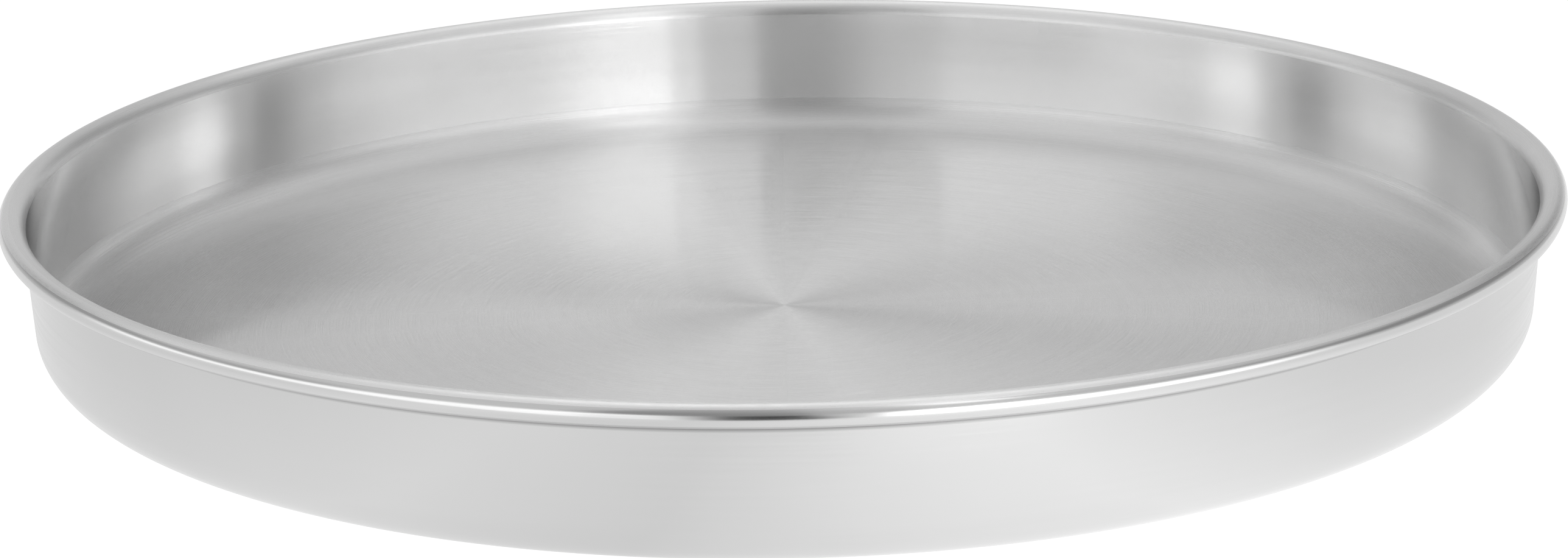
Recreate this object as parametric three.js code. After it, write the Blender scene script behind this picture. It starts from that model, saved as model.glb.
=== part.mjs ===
// Round pizza pan: one spun stainless steel sheet with a wire rolled into its rim.
// Millimetres, +Z up. The pan stands on z = 0 and its axis is Z.
import * as THREE from "three";

// Driving dimensions
const RIM_DIAMETER = 360; // over the widest part of the rolled rim
const HEIGHT = 35.7; // from the underside of the floor to the top of the rim
const SHEET = 0.8; // thickness of the sheet
const WALL_DRAFT = THREE.MathUtils.degToRad(3); // the wall leans outwards by this
const CORNER_INSIDE = 8.5; // inside radius between floor and wall
const WIRE_DIAMETER = 2.8; // wire that stiffens the rim
const WIRE_CLEARANCE = 0.3; // between the wire and the sheet rolled around it
const WIRE_SPLIT = 2.0; // between the two ends of the wire, along its length
const FLARE_WIDER = 1.1; // the bend from the wall into the rim is this much larger in radius than the roll
const ROLL_UNDER = THREE.MathUtils.degToRad(40); // the roll goes on this far past its lowest point

// Resolution of the faceted solids
const SEGMENTS = 80; // around the pan
const FACET_ANGLE = THREE.MathUtils.degToRad(18); // largest turn of one facet in the wide bends
const TIGHT_FACET_ANGLE = THREE.MathUtils.degToRad(30); // the same in the roll of the rim
const WIRE_SIDES = 10; // around the wire

// Radii of the rim, which is rolled around the wire and its clearance
const rimRadius = RIM_DIAMETER / 2;
const rollInside = WIRE_DIAMETER / 2 + WIRE_CLEARANCE;
const rollOutside = rollInside + SHEET;
const flareInside = rollInside + FLARE_WIDER;

// Bends and straight stretches, along the middle of the sheet
const cornerMiddle = CORNER_INSIDE + SHEET / 2;
const flareMiddle = flareInside + SHEET / 2;
const rollMiddle = rollInside + SHEET / 2;
const riseOfBends = (cornerMiddle + flareMiddle) * (1 - Math.sin(WALL_DRAFT));
const wallLength = (HEIGHT - SHEET - riseOfBends) / Math.cos(WALL_DRAFT);
const runOfBends = (cornerMiddle + flareMiddle) * Math.cos(WALL_DRAFT);
const floorRadius = rimRadius - rollOutside - runOfBends - wallLength * Math.sin(WALL_DRAFT);

// The middle line of the sheet's section, walked from the axis outwards. Each point keeps its
// heading, so that the two faces of the sheet can be set off to either side of it.
class SheetSection {
  constructor(r, z) {
    this.r = r;
    this.z = z;
    this.heading = 0;
    this.points = [];
    this.mark();
  }

  mark() {
    this.points.push({ r: this.r, z: this.z, heading: this.heading });
  }

  straight(length) {
    this.r += length * Math.cos(this.heading);
    this.z += length * Math.sin(this.heading);
    this.mark();
    return this;
  }

  // A positive angle bends up and inwards, a negative one outwards and down.
  bend(radius, angle, facetAngle) {
    const steps = Math.ceil(Math.abs(angle) / facetAngle);
    const side = Math.sign(angle);
    const centreR = this.r - side * radius * Math.sin(this.heading);
    const centreZ = this.z + side * radius * Math.cos(this.heading);
    const start = this.heading;
    for (let i = 1; i <= steps; i++) {
      this.heading = start + (angle * i) / steps;
      this.r = centreR + side * radius * Math.sin(this.heading);
      this.z = centreZ - side * radius * Math.cos(this.heading);
      this.mark();
    }
    return this;
  }

  // One face of the sheet: a positive offset is the inside of the pan, a negative one the outside.
  face(offset) {
    return this.points.map(
      (p) => new THREE.Vector2(p.r - offset * Math.sin(p.heading), p.z + offset * Math.cos(p.heading)),
    );
  }
}

function steel(roughness) {
  return new THREE.MeshStandardMaterial({ color: 0xc9c9ca, roughness, metalness: 1 });
}

// Floor, corner, wall and rolled rim are one sheet.
function panBody() {
  const section = new SheetSection(0, SHEET / 2)
    .straight(floorRadius)
    .bend(cornerMiddle, Math.PI / 2 - WALL_DRAFT, FACET_ANGLE)
    .straight(wallLength)
    .bend(flareMiddle, WALL_DRAFT - Math.PI / 2, FACET_ANGLE)
    .bend(rollMiddle, -Math.PI / 2, TIGHT_FACET_ANGLE)
    .bend(rollMiddle, -Math.PI / 2 - ROLL_UNDER, TIGHT_FACET_ANGLE);
  const outline = [...section.face(-SHEET / 2), ...section.face(SHEET / 2).reverse()];
  const geometry = new THREE.LatheGeometry(outline, SEGMENTS);
  geometry.rotateX(Math.PI / 2);
  const mesh = new THREE.Mesh(geometry, steel(0.28));
  mesh.name = "pan_body";
  return mesh;
}

// An open ring, level, that starts and ends beside the split.
class OpenRing extends THREE.Curve {
  constructor(radius, split) {
    super();
    this.radius = radius;
    this.split = split / radius;
  }

  getPoint(t, target = new THREE.Vector3()) {
    const angle = this.split / 2 + t * (2 * Math.PI - this.split);
    return target.set(this.radius * Math.cos(angle), this.radius * Math.sin(angle), 0);
  }
}

// The wire lies in the middle of the rolled rim.
function rimWire() {
  const section = new THREE.Shape().absarc(0, 0, WIRE_DIAMETER / 2, 0, 2 * Math.PI);
  const geometry = new THREE.ExtrudeGeometry(section, {
    steps: SEGMENTS,
    curveSegments: WIRE_SIDES / 2, // for each half of the circle
    extrudePath: new OpenRing(rimRadius - rollOutside, WIRE_SPLIT),
    bevelEnabled: false,
  });
  const mesh = new THREE.Mesh(geometry, steel(0.45));
  mesh.name = "rim_wire";
  mesh.position.z = HEIGHT - rollOutside;
  return mesh;
}

const pizzaPan = new THREE.Group();
pizzaPan.add(panBody(), rimWire());

export default pizzaPan;
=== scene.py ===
"""The looks of a round stainless steel pizza pan: satin inside, polished outside. Metres, +Z up."""

import math
from typing import NamedTuple

import bpy
from mathutils import Matrix, Vector


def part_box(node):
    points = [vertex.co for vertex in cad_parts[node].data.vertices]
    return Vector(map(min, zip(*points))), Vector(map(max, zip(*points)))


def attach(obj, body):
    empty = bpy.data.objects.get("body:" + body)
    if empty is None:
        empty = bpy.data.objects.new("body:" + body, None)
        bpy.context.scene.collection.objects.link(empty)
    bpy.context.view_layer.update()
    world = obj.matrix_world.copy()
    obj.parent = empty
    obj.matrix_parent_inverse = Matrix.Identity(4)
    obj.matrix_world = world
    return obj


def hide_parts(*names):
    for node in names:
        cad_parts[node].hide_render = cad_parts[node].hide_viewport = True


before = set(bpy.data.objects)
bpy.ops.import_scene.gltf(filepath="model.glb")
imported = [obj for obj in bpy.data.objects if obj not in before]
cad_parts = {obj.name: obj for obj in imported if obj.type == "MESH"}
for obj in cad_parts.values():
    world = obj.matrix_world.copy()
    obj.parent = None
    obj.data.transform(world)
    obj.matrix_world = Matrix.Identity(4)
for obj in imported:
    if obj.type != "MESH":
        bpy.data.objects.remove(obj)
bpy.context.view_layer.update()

# The pan's section, as the solids have it
MM = 0.001
RIM_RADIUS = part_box("pan_body")[1][0]
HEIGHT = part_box("pan_body")[1][2]
SHEET = 0.8 * MM
WALL_DRAFT = math.radians(3)
CORNER_INSIDE = 8.5 * MM
WIRE_DIAMETER = 2.8 * MM
WIRE_CLEARANCE = 0.3 * MM
WIRE_SPLIT = 2.0 * MM
FLARE_WIDER = 1.1 * MM
ROLL_UNDER = math.radians(40)

ROLL_INSIDE = WIRE_DIAMETER / 2 + WIRE_CLEARANCE
ROLL_OUTSIDE = ROLL_INSIDE + SHEET
FLARE_INSIDE = ROLL_INSIDE + FLARE_WIDER

# The outside is polished up to this angle above the widest part of the roll
POLISHED_TO = math.radians(45)

# Fineness of the meshes
SEGMENTS = 360
BIG_STEP = math.radians(4)
ROLL_STEP = math.radians(5)
FLOOR_RINGS = 12
WALL_RINGS = 6
WIRE_SIDES = 20
SHARP_EDGE = math.radians(40)
UV_MAP = "OFBake"

# The camera, as the photograph was taken
CAMERA_AT = Vector((0.0, -0.841, 0.257))
CAMERA_PITCH = 0.2887
CAMERA_ROLL = 0.0198
IMAGE_WIDTH = 2576
FOCAL_PIXELS = 6110
SENSOR = 36.0

# Steel reflects this share of the light
SATIN = (0.86, 0.86, 0.86, 1)
POLISHED = (0.7, 0.7, 0.7, 1)
WIRE_STEEL = (0.5, 0.5, 0.51, 1)

# Roughness of the smoothest and the roughest lines of each finish
FLOOR_ROUGHNESS = (0.1, 0.42)
CORNER_ROUGHNESS = (0.22, 0.42)
WALL_ROUGHNESS = (0.06, 0.27)
FLARE_ROUGHNESS = (0.2, 0.4)
RIM_TOP_ROUGHNESS = (0.26, 0.36)
RIM_SIDE_ROUGHNESS = (0.15, 0.25)
OUTSIDE_ROUGHNESS = (0.14, 0.22)
WIRE_ROUGHNESS = (0.35, 0.5)

# Lines of each finish over the whole outline of the sheet, and how high the coarser ones stand
SATIN_LINES = 120000
SATIN_RINGS = 160
RIM_TOP_LINES = 2000
RIM_TOP_RELIEF = 0.002 * MM
POLISH_LINES = 500
POLISH_RELIEF = 0.002 * MM

# Painted shade: close under the rim the outside's colour darkens, down to this share
PAINTED_SHADE_FROM = 28.7 * MM
PAINTED_SHADE_TO = 29.8 * MM
PAINTED_SHADE_SHARE = 0.25


class SheetSection:
    """The middle line of the sheet, walked from the axis outwards, as (radius, height, heading)."""

    def __init__(self, r, z):
        self.r, self.z, self.heading = r, z, 0.0
        self.points = [(r, z, 0.0)]

    def straight(self, length, rings=1):
        for _ in range(rings):
            self.r += length / rings * math.cos(self.heading)
            self.z += length / rings * math.sin(self.heading)
            self.points.append((self.r, self.z, self.heading))
        return self

    def bend(self, radius, angle, step):
        """A positive angle bends up and inwards, a negative one outwards and down."""
        count = math.ceil(abs(angle) / step - 1e-6)
        side = math.copysign(1.0, angle)
        centre_r = self.r - side * radius * math.sin(self.heading)
        centre_z = self.z + side * radius * math.cos(self.heading)
        start = self.heading
        for i in range(1, count + 1):
            self.heading = start + angle * i / count
            self.r = centre_r + side * radius * math.sin(self.heading)
            self.z = centre_z - side * radius * math.cos(self.heading)
            self.points.append((self.r, self.z, self.heading))
        return self

    def count(self):
        return len(self.points)

    def face(self, offset):
        return [(r - offset * math.sin(a), z + offset * math.cos(a)) for r, z, a in self.points]


def pan_section():
    """The section, with the numbers of the rings where its finish changes, from the floor outwards."""
    corner = CORNER_INSIDE + SHEET / 2
    flare = FLARE_INSIDE + SHEET / 2
    roll = ROLL_INSIDE + SHEET / 2
    rise = (corner + flare) * (1 - math.sin(WALL_DRAFT))
    wall = (HEIGHT - SHEET - rise) / math.cos(WALL_DRAFT)
    run = (corner + flare) * math.cos(WALL_DRAFT) + wall * math.sin(WALL_DRAFT)
    section = SheetSection(0.0, SHEET / 2)
    section.straight(RIM_RADIUS - ROLL_OUTSIDE - run, FLOOR_RINGS)
    floor_ring = section.count() - 1
    section.bend(corner, math.pi / 2 - WALL_DRAFT, BIG_STEP)
    wall_ring = section.count() - 1
    section.straight(wall, WALL_RINGS)
    flare_ring = section.count() - 1
    section.bend(flare, WALL_DRAFT - math.pi / 2, BIG_STEP)
    top_ring = section.count() - 1
    section.bend(roll, POLISHED_TO - math.pi / 2, ROLL_STEP)
    polish_ring = section.count() - 1
    section.bend(roll, -POLISHED_TO - math.pi / 2 - ROLL_UNDER, ROLL_STEP)
    return section, [floor_ring, wall_ring, flare_ring, top_ring, polish_ring]


def new_piece(name, verts, faces, uvs, slots=None):
    mesh = bpy.data.meshes.new(name)
    mesh.from_pydata(verts, [], faces)
    layer = mesh.uv_layers.new(name=UV_MAP)
    for loop, uv in zip(layer.data, uvs):
        loop.uv = uv
    for polygon, slot in zip(mesh.polygons, slots or [0] * len(faces)):
        polygon.material_index = slot
    mesh.shade_smooth()
    mesh.set_sharp_from_angle(angle=SHARP_EDGE)
    piece = bpy.data.objects.new(name, mesh)
    bpy.context.collection.objects.link(piece)
    return piece


def lathe(name, outline, slot_of_row):
    """Turns an outline that starts and ends on the axis. U runs round the pan and V along the outline."""
    rows = len(outline)
    along = [0.0]
    for (r0, z0), (r1, z1) in zip(outline, outline[1:]):
        along.append(along[-1] + math.hypot(r1 - r0, z1 - z0))
    verts, index = [], {}
    for j, (r, z) in enumerate(outline):
        on_axis = j in (0, rows - 1)
        for k in range(1 if on_axis else SEGMENTS):
            angle = 2 * math.pi * k / SEGMENTS
            index[j, k] = len(verts)
            verts.append((r * math.cos(angle), r * math.sin(angle), z))
        if on_axis:
            index.update({(j, k): index[j, 0] for k in range(SEGMENTS)})
    faces, uvs, slots = [], [], []
    for j in range(rows - 1):
        for k in range(SEGMENTS):
            corners = [(j, k), (j, k + 1), (j + 1, k + 1), (j + 1, k)]
            if j == 0:
                corners.pop(1)
            elif j == rows - 2:
                corners.pop(2)
            faces.append([index[a, b % SEGMENTS] for a, b in corners])
            uvs += [(b / SEGMENTS, along[a] / along[-1]) for a, b in corners]
            slots.append(slot_of_row(j))
    return new_piece(name, verts, faces, uvs, slots)


def open_ring(name, radius, height, split):
    """A round wire bent to a level ring, with flat ends on both sides of its split."""
    gap = split / radius
    verts = []
    for k in range(SEGMENTS + 1):
        angle = gap / 2 + (2 * math.pi - gap) * k / SEGMENTS
        for i in range(WIRE_SIDES):
            turn = 2 * math.pi * i / WIRE_SIDES
            r = radius + WIRE_DIAMETER / 2 * math.cos(turn)
            z = height + WIRE_DIAMETER / 2 * math.sin(turn)
            verts.append((r * math.cos(angle), r * math.sin(angle), z))
    faces, uvs = [], []
    for k in range(SEGMENTS):
        for i in range(WIRE_SIDES):
            corners = [(k, i), (k + 1, i), (k + 1, i + 1), (k, i + 1)]
            faces.append([a * WIRE_SIDES + b % WIRE_SIDES for a, b in corners])
            uvs += [(a / SEGMENTS, b / WIRE_SIDES) for a, b in corners]
    for k, turned in ((0, range(WIRE_SIDES)), (SEGMENTS, reversed(range(WIRE_SIDES)))):
        end = list(turned)
        faces.append([k * WIRE_SIDES + i for i in end])
        uvs += [(k / SEGMENTS, i / WIRE_SIDES) for i in end]
    return new_piece(name, verts, faces, uvs)


class Shader:
    """A new material, and short ways to add nodes to it."""

    def __init__(self, name):
        self.material = bpy.data.materials.new(name)
        self.material.use_nodes = True
        self.tree = self.material.node_tree
        self.bsdf = next(n for n in self.tree.nodes if n.type == "BSDF_PRINCIPLED")

    def add(self, kind, **settings):
        node = self.tree.nodes.new("ShaderNode" + kind)
        for name, value in settings.items():
            setattr(node, name, value)
        return node

    def link(self, source, target):
        self.tree.links.new(source, target)

    def set(self, **values):
        for name, value in values.items():
            self.bsdf.inputs[name.replace("_", " ")].default_value = value

    def grain(self, streaks, lines, detail):
        """Noise drawn out round the pan: so many streaks to a radian, so many lines over the outline."""
        place = self.add("TexCoord")
        level = self.add("VectorMath", operation="MULTIPLY")
        level.inputs[1].default_value = (1, 1, 0)
        around = self.add("VectorMath", operation="NORMALIZE")
        streaked = self.add("VectorMath", operation="SCALE")
        streaked.inputs["Scale"].default_value = streaks
        flat = self.add("UVMap", uv_map=UV_MAP)
        across = self.add("VectorMath", operation="MULTIPLY")
        across.inputs[1].default_value = (0, lines, 0)
        swap = self.add("VectorRotate", rotation_type="X_AXIS")
        swap.inputs["Angle"].default_value = math.pi / 2
        both = self.add("VectorMath", operation="ADD")
        noise = self.add("TexNoise")
        noise.inputs["Scale"].default_value = 1.0
        noise.inputs["Detail"].default_value = detail
        self.link(place.outputs["Object"], level.inputs[0])
        self.link(level.outputs[0], around.inputs[0])
        self.link(around.outputs[0], streaked.inputs[0])
        self.link(flat.outputs["UV"], across.inputs[0])
        self.link(across.outputs[0], swap.inputs["Vector"])
        self.link(streaked.outputs[0], both.inputs[0])
        self.link(swap.outputs[0], both.inputs[1])
        self.link(both.outputs[0], noise.inputs["Vector"])
        return noise.outputs["Fac"]

    def smudges(self, scale):
        """Soft clouds, as handling and polishing leave them."""
        place = self.add("TexCoord")
        noise = self.add("TexNoise")
        noise.inputs["Scale"].default_value = scale
        noise.inputs["Detail"].default_value = 3.0
        self.link(place.outputs["Object"], noise.inputs["Vector"])
        return noise.outputs["Fac"]

    def spread(self, value, low, high, start=0.3, end=0.7):
        """Maps a noise's middle range onto low to high."""
        node = self.add("MapRange")
        node.inputs["From Min"].default_value = start
        node.inputs["From Max"].default_value = end
        node.inputs["To Min"].default_value = low
        node.inputs["To Max"].default_value = high
        self.link(value, node.inputs["Value"])
        return node.outputs["Result"]

    def tint(self, value, colour, low, high):
        """The base colour, lighter and darker with a noise."""
        self.colour(self.spread(value, low, high), colour)

    def colour(self, shade, colour):
        """The base colour, times a shade."""
        node = self.add("VectorMath", operation="SCALE")
        node.inputs[0].default_value = colour[:3]
        self.link(shade, node.inputs["Scale"])
        self.link(node.outputs[0], self.bsdf.inputs["Base Color"])

    def rough(self, value, roughness, start=0.3, end=0.7):
        """The roughness, from the smoothest to the roughest with a noise."""
        spread = self.spread(value, *roughness, start, end)
        self.link(spread, self.bsdf.inputs["Roughness"])

    def bump(self, height, depth):
        node = self.add("Bump")
        node.inputs["Strength"].default_value = 1.0
        node.inputs["Distance"].default_value = depth
        self.link(height, node.inputs["Height"])
        self.link(node.outputs["Normal"], self.bsdf.inputs["Normal"])

    def brushed_round(self, amount):
        """Brush lines round the pan spread the light across them."""
        self.set(Anisotropic=amount, Anisotropic_Rotation=0.25)
        tangent = self.add("Tangent", direction_type="UV_MAP", uv_map=UV_MAP)
        self.link(tangent.outputs["Tangent"], self.bsdf.inputs["Tangent"])


def satin_steel(name, roughness):
    """Fine brush lines, some smooth and some rough, too close together to be seen one by one."""
    shader = Shader(name)
    shader.set(Metallic=1.0)
    shader.brushed_round(1.0)
    lines = shader.grain(6.0, SATIN_LINES, 0.0)
    shader.tint(shader.grain(3.0, SATIN_RINGS, 3.0), SATIN, 0.985, 1.015)
    shader.rough(lines, roughness, 0.35, 0.65)
    return shader.material


def rim_satin():
    """Coarser brushing on the top of the rim."""
    shader = Shader("satin_rim")
    shader.set(Metallic=1.0)
    shader.brushed_round(0.9)
    coarse = shader.grain(60.0, RIM_TOP_LINES, 2.0)
    shader.tint(coarse, SATIN, 0.98, 1.02)
    shader.rough(coarse, RIM_TOP_ROUGHNESS)
    shader.bump(coarse, RIM_TOP_RELIEF)
    return shader.material


def polished_rim():
    """The outer half of the roll."""
    shader = Shader("polished_rim")
    shader.set(Metallic=1.0)
    shader.brushed_round(0.6)
    lines = shader.grain(4.0, POLISH_LINES, 3.0)
    shader.tint(shader.smudges(14.0), POLISHED, 0.98, 1.02)
    shader.rough(lines, RIM_SIDE_ROUGHNESS)
    shader.bump(lines, POLISH_RELIEF)
    return shader.material


def polished_outside():
    """Polished steel, its colour darkened close under the rim as painted shade where the roll shades the
    wall.
    """
    shader = Shader("polished_outside")
    shader.set(Metallic=1.0)
    lines = shader.grain(4.0, POLISH_LINES, 3.0)
    clouds = shader.spread(shader.smudges(14.0), 0.98, 1.02)
    place = shader.add("TexCoord")
    split = shader.add("SeparateXYZ")
    shader.link(place.outputs["Object"], split.inputs[0])
    # Painted shade: the base colour darkens close under the rim, where the rolled rim shades the wall.
    painted_shade = shader.spread(split.outputs["Z"], 1.0, PAINTED_SHADE_SHARE, PAINTED_SHADE_FROM, PAINTED_SHADE_TO)
    shade = shader.add("Math", operation="MULTIPLY")
    shader.link(clouds, shade.inputs[0])
    shader.link(painted_shade, shade.inputs[1])
    shader.colour(shade.outputs[0], POLISHED)
    shader.rough(lines, OUTSIDE_ROUGHNESS)
    shader.bump(lines, POLISH_RELIEF)
    return shader.material


def drawn_wire():
    shader = Shader("drawn_wire")
    shader.set(Metallic=1.0)
    shader.tint(shader.smudges(60.0), WIRE_STEEL, 0.85, 1.1)
    shader.rough(shader.smudges(400.0), WIRE_ROUGHNESS)
    return shader.material


def make_pan():
    section, rings = pan_section()
    outside = section.face(-SHEET / 2)
    inside = section.face(SHEET / 2)
    outline = outside + inside[::-1]
    last = len(outline) - 1
    starts = [0, len(outside)] + [last - ring for ring in reversed(rings)]
    finishes = [
        polished_outside(),
        polished_rim(),
        rim_satin(),
        satin_steel("satin_flare", FLARE_ROUGHNESS),
        satin_steel("satin_wall", WALL_ROUGHNESS),
        satin_steel("satin_corner", CORNER_ROUGHNESS),
        satin_steel("satin_floor", FLOOR_ROUGHNESS),
    ]

    def finish_of_row(row):
        return sum(row >= start for start in starts) - 1

    pan = lathe("pan_body_visual", outline, finish_of_row)
    for finish in finishes:
        pan.data.materials.append(finish)
    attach(pan, "root")
    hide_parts("pan_body")


def make_wire():
    """The wire lies in the middle of the rolled rim."""
    wire = open_ring("rim_wire_visual", RIM_RADIUS - ROLL_OUTSIDE, HEIGHT - ROLL_OUTSIDE, WIRE_SPLIT)
    wire.data.materials.append(drawn_wire())
    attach(wire, "root")
    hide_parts("rim_wire")


# The floor is white to the camera. What the steel mirrors of it ends at the table's front edge and
# glows with this painted light from its left to its right, in place of studio light falling on a table.
FLOOR_HALF = 3.0
TABLE_FRONT = -0.26
TABLE_SIDE = 0.25
TABLE_LIGHT = {-0.2: 0.8, -0.1: 0.94, -0.03: 0.86, 0.02: 1.03, 0.08: 1.13, 0.19: 0.86}


def floor_plane(name, front):
    half = FLOOR_HALF
    corners = [(-half, front, 0), (half, front, 0), (half, half, 0), (-half, half, 0)]
    mesh = bpy.data.meshes.new(name)
    mesh.from_pydata(corners, [], [(0, 1, 2, 3)])
    floor = bpy.data.objects.new(name, mesh)
    bpy.context.collection.objects.link(floor)
    shader = Shader(name)
    shader.set(Base_Color=(0.02, 0.02, 0.02, 1), Roughness=1.0, Emission_Color=(1, 1, 1, 1))
    floor.data.materials.append(shader.material)
    return floor, shader


def make_floor():
    """One plane for the camera, evenly white, and one for reflections."""
    white, white_shader = floor_plane("white_floor", -FLOOR_HALF)
    white_shader.set(Emission_Strength=1.0)
    white.visible_glossy = False
    white.visible_diffuse = False
    mirrored, shader = floor_plane("mirrored_floor", TABLE_FRONT)
    mirrored.visible_camera = False
    place = shader.add("TexCoord")
    split = shader.add("SeparateXYZ")
    shader.link(place.outputs["Object"], split.inputs[0])
    across = shader.spread(split.outputs["X"], 0.0, 1.0, -TABLE_SIDE, TABLE_SIDE)
    ramp = shader.add("ValToRGB")
    stops = ramp.color_ramp.elements
    for x, light in TABLE_LIGHT.items():
        stops.new((x + TABLE_SIDE) / (2 * TABLE_SIDE)).color = (light, light, light, 1)
    stops.remove(stops[-1])
    stops.remove(stops[0])
    shader.link(across, ramp.inputs["Fac"])
    # Painted light: the mirrored floor's glow varies across it, as light falling on a table would.
    shader.link(ramp.outputs["Color"], shader.bsdf.inputs["Emission Strength"])


def make_camera():
    data = bpy.data.cameras.new("camera")
    data.sensor_fit = "HORIZONTAL"
    data.sensor_width = SENSOR
    data.lens = SENSOR * FOCAL_PIXELS / IMAGE_WIDTH
    camera = bpy.data.objects.new("camera", data)
    bpy.context.collection.objects.link(camera)
    level = Matrix.Rotation(math.pi / 2 - CAMERA_PITCH, 4, "X")
    rolled = level @ Matrix.Rotation(-CAMERA_ROLL, 4, "Z")
    camera.matrix_world = Matrix.Translation(CAMERA_AT) @ rolled
    bpy.context.scene.camera = camera


class Panel(NamedTuple):
    """
    A panel of light round the pan, or a dark one if its glow is below zero. Degrees, from the camera's
    side to its right and up from level, each with the width over which that edge fades. A panel without
    a bottom reaches down to the floor, and one without a top reaches overhead.
    """

    glow: float
    left: float
    right: float
    top: float = None
    bottom: float = None
    left_fade: float = 2
    right_fade: float = 2
    top_fade: float = 12
    bottom_fade: float = 10


AMBIENT = 0.6
PANELS = {
    "overhead": Panel(0.13, -200, 200, bottom=44, bottom_fade=36),
    "window": Panel(1.45, 13.5, 76, 14, left_fade=3, right_fade=38, top_fade=8),
    "window_near": Panel(1.5, 18.5, 36, 15, left_fade=1, right_fade=16, top_fade=8),
    "window_tall": Panel(0.12, 18.5, 36, 48, 16, left_fade=1, right_fade=20, bottom_fade=8),
    "window_high": Panel(0.85, 26, 44, 72, 48, left_fade=8, right_fade=16),
    "beside_window": Panel(0.12, 4.5, 16, 18, left_fade=1.6, right_fade=4),
    "left_wall": Panel(0.86, -112, -13, 12, left_fade=24, right_fade=10, top_fade=8),
    "left_tall": Panel(0.52, -60, -18, 17, 6, left_fade=24, right_fade=16, top_fade=8, bottom_fade=8),
    "left_ceiling": Panel(0.1, -140, -32, 45, 25, left_fade=20, right_fade=4),
    "dark_left": Panel(-0.2, -148, -66, 30, 9, left_fade=16, right_fade=24),
    "dark_right": Panel(-0.3, 60, 162, 30, 9, left_fade=36, right_fade=20),
    "camera": Panel(-0.53, -8, 3.5, 12, left_fade=6, right_fade=1.2),
    "above_camera": Panel(-0.28, -28, 3.5, 70, left_fade=2, right_fade=1.2, top_fade=20),
    "table_edge": Panel(-1.0, -6, 5, -2, left_fade=6, right_fade=5, top_fade=4),
    "far_ceiling_right": Panel(0.5, 146, 200, 72, 45, left_fade=12),
    "far_ceiling_left": Panel(0.62, -200, -150, 72, 45, right_fade=12),
}


class Studio:
    """The light round the pan, from the direction that it comes from."""

    def __init__(self):
        self.world = bpy.data.worlds.new("studio")
        self.world.use_nodes = True
        self.tree = self.world.node_tree
        place = self.tree.nodes.new("ShaderNodeTexCoord")
        split = self.tree.nodes.new("ShaderNodeSeparateXYZ")
        self.tree.links.new(place.outputs["Generated"], split.inputs[0])
        x, y, z = split.outputs
        turned = self.math("ARCTAN2", x, self.math("MULTIPLY", y, -1.0))
        self.around = self.math("DEGREES", turned)
        self.up = self.math("DEGREES", self.math("ARCSINE", z))
        self.light = self.math("ADD", AMBIENT, 0.0)

    def math(self, operation, *values):
        node = self.tree.nodes.new("ShaderNodeMath")
        node.operation = operation
        for socket, value in zip(node.inputs, values):
            if isinstance(value, (int, float)):
                socket.default_value = value
            else:
                self.tree.links.new(value, socket)
        return node.outputs[0]

    def past(self, angle, edge, fade):
        """Rises from 0 to 1 over an edge."""
        node = self.tree.nodes.new("ShaderNodeMapRange")
        node.interpolation_type = "SMOOTHSTEP"
        node.inputs["From Min"].default_value = edge - fade / 2
        node.inputs["From Max"].default_value = edge + fade / 2
        self.tree.links.new(angle, node.inputs["Value"])
        return node.outputs["Result"]

    def add(self, panel):
        left = self.past(self.around, panel.left, panel.left_fade)
        right = self.past(self.around, panel.right, panel.right_fade)
        bottom = 1.0 if panel.bottom is None else self.past(self.up, panel.bottom, panel.bottom_fade)
        top = 0.0 if panel.top is None else self.past(self.up, panel.top, panel.top_fade)
        wide = self.math("SUBTRACT", left, right)
        high = self.math("SUBTRACT", bottom, top)
        shape = self.math("MULTIPLY", wide, high)
        self.light = self.math("MULTIPLY_ADD", shape, panel.glow, self.light)

    def use(self):
        background = self.tree.nodes["Background"]
        background.inputs["Color"].default_value = (1, 1, 1, 1)
        self.tree.links.new(self.math("MAXIMUM", self.light, 0.0), background.inputs["Strength"])
        bpy.context.scene.world = self.world


def make_world():
    studio = Studio()
    for panel in PANELS.values():
        studio.add(panel)
    studio.use()


make_pan()
make_wire()
make_floor()
make_camera()
make_world()
bpy.context.scene.view_settings.view_transform = "Standard"
